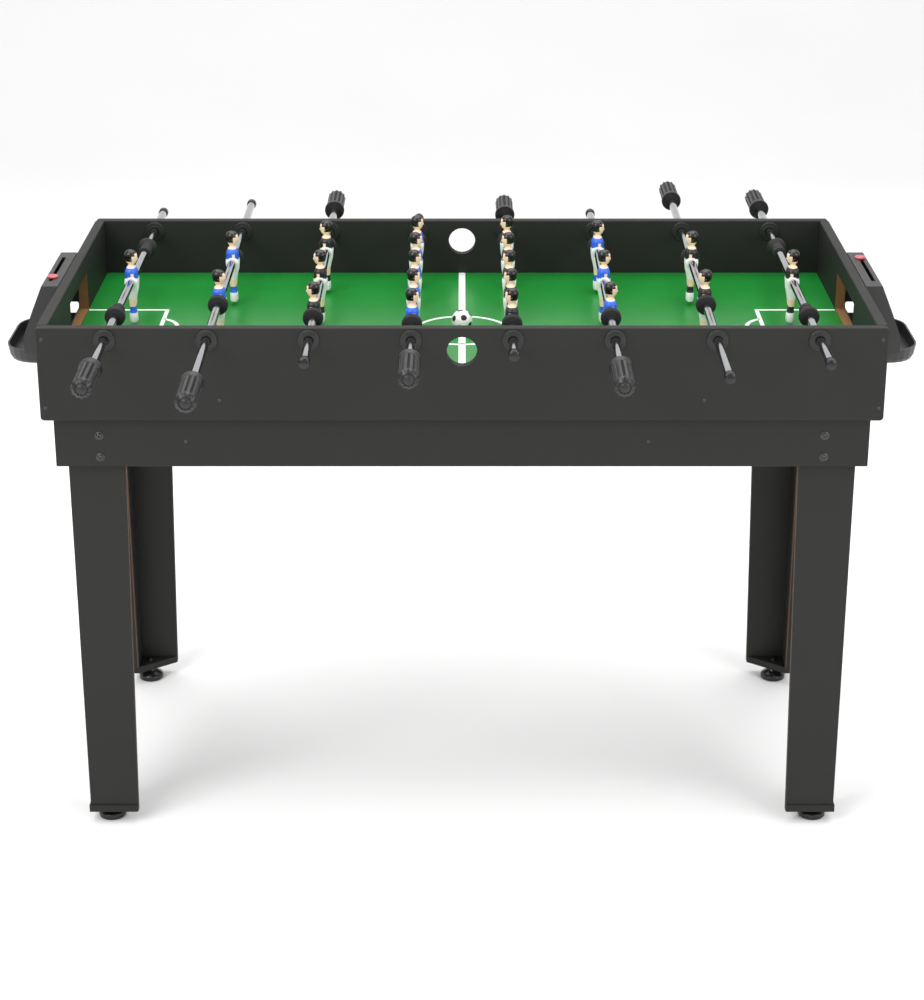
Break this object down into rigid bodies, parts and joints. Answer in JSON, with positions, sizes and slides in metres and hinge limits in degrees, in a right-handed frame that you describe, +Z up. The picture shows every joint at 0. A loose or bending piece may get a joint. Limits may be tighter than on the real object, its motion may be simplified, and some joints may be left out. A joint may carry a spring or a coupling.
{
  "type": "foosball table",
  "caption": "Foosball table on tapered legs, with an open green field crossed by sliding, spinning rods of figures, end goals, ball returns and score markers.",
  "frame": {"origin": "on the floor at the centre of the footprint", "axes": "+X along the table's length, -Y the side of the blue team's grips, +Z up"},
  "size_m": [1.3926, 1.1644, 0.8435],
  "materials": {
    "box_board": "black laminated board, satin",
    "green_field": "green printed laminate",
    "apron_board": "black laminated board, satin",
    "leg_board": "black laminated board with bare brown fibreboard edges",
    "foot_plastic": "black moulded plastic",
    "return_plastic": "black moulded plastic",
    "rod_chrome": "chromed steel tube with black rubber bumpers",
    "blue_figure": "blue, white and black painted plastic",
    "black_figure": "black and white painted plastic",
    "grip_plastic": "black ribbed plastic",
    "marker_plastic": "red plastic",
    "ball_plastic": "white plastic with black spots"
  },
  "bodies": {
    "table": {"playfield": "green_field", "side_board_front": "box_board", "side_board_back": "box_board", "end_board_left": "box_board", "end_board_right": "box_board", "apron_front": "apron_board", "apron_back": "apron_board", "apron_left": "apron_board", "apron_right": "apron_board", "leg_front_left": "leg_board", "leg_front_right": "leg_board", "leg_back_left": "leg_board", "leg_back_right": "leg_board", "ball_return_left": "return_plastic", "ball_return_right": "return_plastic"},
    "blue_goalkeeper_rod": {"blue_goalkeeper_rod": "rod_chrome"},
    "blue_goalkeeper_row": {"blue_goalkeeper_figure_1": "blue_figure", "blue_goalkeeper_grip": "grip_plastic"},
    "blue_defender_rod": {"blue_defender_rod": "rod_chrome"},
    "blue_defender_row": {"blue_defender_figure_1": "blue_figure", "blue_defender_figure_2": "blue_figure", "blue_defender_grip": "grip_plastic"},
    "black_forward_rod": {"black_forward_rod": "rod_chrome"},
    "black_forward_row": {"black_forward_figure_1": "black_figure", "black_forward_figure_2": "black_figure", "black_forward_figure_3": "black_figure", "black_forward_grip": "grip_plastic"},
    "blue_midfielder_rod": {"blue_midfielder_rod": "rod_chrome"},
    "blue_midfielder_row": {"blue_midfielder_figure_1": "blue_figure", "blue_midfielder_figure_2": "blue_figure", "blue_midfielder_figure_3": "blue_figure", "blue_midfielder_figure_4": "blue_figure", "blue_midfielder_figure_5": "blue_figure", "blue_midfielder_grip": "grip_plastic"},
    "black_midfielder_rod": {"black_midfielder_rod": "rod_chrome"},
    "black_midfielder_row": {"black_midfielder_figure_1": "black_figure", "black_midfielder_figure_2": "black_figure", "black_midfielder_figure_3": "black_figure", "black_midfielder_figure_4": "black_figure", "black_midfielder_figure_5": "black_figure", "black_midfielder_grip": "grip_plastic"},
    "blue_forward_rod": {"blue_forward_rod": "rod_chrome"},
    "blue_forward_row": {"blue_forward_figure_1": "blue_figure", "blue_forward_figure_2": "blue_figure", "blue_forward_figure_3": "blue_figure", "blue_forward_grip": "grip_plastic"},
    "black_defender_rod": {"black_defender_rod": "rod_chrome"},
    "black_defender_row": {"black_defender_figure_1": "black_figure", "black_defender_figure_2": "black_figure", "black_defender_grip": "grip_plastic"},
    "black_goalkeeper_rod": {"black_goalkeeper_rod": "rod_chrome"},
    "black_goalkeeper_row": {"black_goalkeeper_figure_1": "black_figure", "black_goalkeeper_grip": "grip_plastic"},
    "foot_front_left": {"foot_front_left": "foot_plastic"},
    "foot_front_right": {"foot_front_right": "foot_plastic"},
    "foot_back_left": {"foot_back_left": "foot_plastic"},
    "foot_back_right": {"foot_back_right": "foot_plastic"},
    "score_marker_left": {"score_marker_left": "marker_plastic"},
    "score_marker_right": {"score_marker_right": "marker_plastic"},
    "ball": {"ball": "ball_plastic"}
  },
  "joints": [
    {"name": "blue_goalkeeper_slide", "type": "slide", "parent": "table", "child": "blue_goalkeeper_rod", "axis": [0, 1, 0], "range_m": [-0.091, 0.091]},
    {"name": "blue_goalkeeper_spin", "type": "hinge", "parent": "blue_goalkeeper_rod", "child": "blue_goalkeeper_row", "pos_m": [-0.5075, 0, 0.795], "axis": [0, 1, 0], "continuous": true},
    {"name": "blue_defender_slide", "type": "slide", "parent": "table", "child": "blue_defender_rod", "axis": [0, 1, 0], "range_m": [-0.149, 0.149]},
    {"name": "blue_defender_spin", "type": "hinge", "parent": "blue_defender_rod", "child": "blue_defender_row", "pos_m": [-0.3625, 0, 0.795], "axis": [0, 1, 0], "continuous": true},
    {"name": "black_forward_slide", "type": "slide", "parent": "table", "child": "black_forward_rod", "axis": [0, 1, 0], "range_m": [-0.084, 0.084]},
    {"name": "black_forward_spin", "type": "hinge", "parent": "black_forward_rod", "child": "black_forward_row", "pos_m": [-0.2175, 0, 0.795], "axis": [0, 1, 0], "continuous": true},
    {"name": "blue_midfielder_slide", "type": "slide", "parent": "table", "child": "blue_midfielder_rod", "axis": [0, 1, 0], "range_m": [-0.052, 0.052]},
    {"name": "blue_midfielder_spin", "type": "hinge", "parent": "blue_midfielder_rod", "child": "blue_midfielder_row", "pos_m": [-0.0725, 0, 0.795], "axis": [0, 1, 0], "continuous": true},
    {"name": "black_midfielder_slide", "type": "slide", "parent": "table", "child": "black_midfielder_rod", "axis": [0, 1, 0], "range_m": [-0.052, 0.052]},
    {"name": "black_midfielder_spin", "type": "hinge", "parent": "black_midfielder_rod", "child": "black_midfielder_row", "pos_m": [0.0725, 0, 0.795], "axis": [0, 1, 0], "continuous": true},
    {"name": "blue_forward_slide", "type": "slide", "parent": "table", "child": "blue_forward_rod", "axis": [0, 1, 0], "range_m": [-0.084, 0.084]},
    {"name": "blue_forward_spin", "type": "hinge", "parent": "blue_forward_rod", "child": "blue_forward_row", "pos_m": [0.2175, 0, 0.795], "axis": [0, 1, 0], "continuous": true},
    {"name": "black_defender_slide", "type": "slide", "parent": "table", "child": "black_defender_rod", "axis": [0, 1, 0], "range_m": [-0.149, 0.149]},
    {"name": "black_defender_spin", "type": "hinge", "parent": "black_defender_rod", "child": "black_defender_row", "pos_m": [0.3625, 0, 0.795], "axis": [0, 1, 0], "continuous": true},
    {"name": "black_goalkeeper_slide", "type": "slide", "parent": "table", "child": "black_goalkeeper_rod", "axis": [0, 1, 0], "range_m": [-0.091, 0.091]},
    {"name": "black_goalkeeper_spin", "type": "hinge", "parent": "black_goalkeeper_rod", "child": "black_goalkeeper_row", "pos_m": [0.5075, 0, 0.795], "axis": [0, 1, 0], "continuous": true},
    {"name": "foot_front_left_screw", "type": "slide", "parent": "table", "child": "foot_front_left", "axis": [0, 0, 1], "range_m": [-0.008, 0]},
    {"name": "foot_front_right_screw", "type": "slide", "parent": "table", "child": "foot_front_right", "axis": [0, 0, 1], "range_m": [-0.008, 0]},
    {"name": "foot_back_left_screw", "type": "slide", "parent": "table", "child": "foot_back_left", "axis": [0, 0, 1], "range_m": [-0.008, 0]},
    {"name": "foot_back_right_screw", "type": "slide", "parent": "table", "child": "foot_back_right", "axis": [0, 0, 1], "range_m": [-0.008, 0]},
    {"name": "score_marker_left_slide", "type": "slide", "parent": "table", "child": "score_marker_left", "axis": [0, 1, 0], "range_m": [-0.0182, 0.1082]},
    {"name": "score_marker_right_slide", "type": "slide", "parent": "table", "child": "score_marker_right", "axis": [0, 1, 0], "range_m": [-0.1252, 0.0012]},
    {"name": "ball_lift", "type": "slide", "parent": "table", "child": "ball", "axis": [0, 0, 1], "range_m": [0, 0.15]}
  ]
}
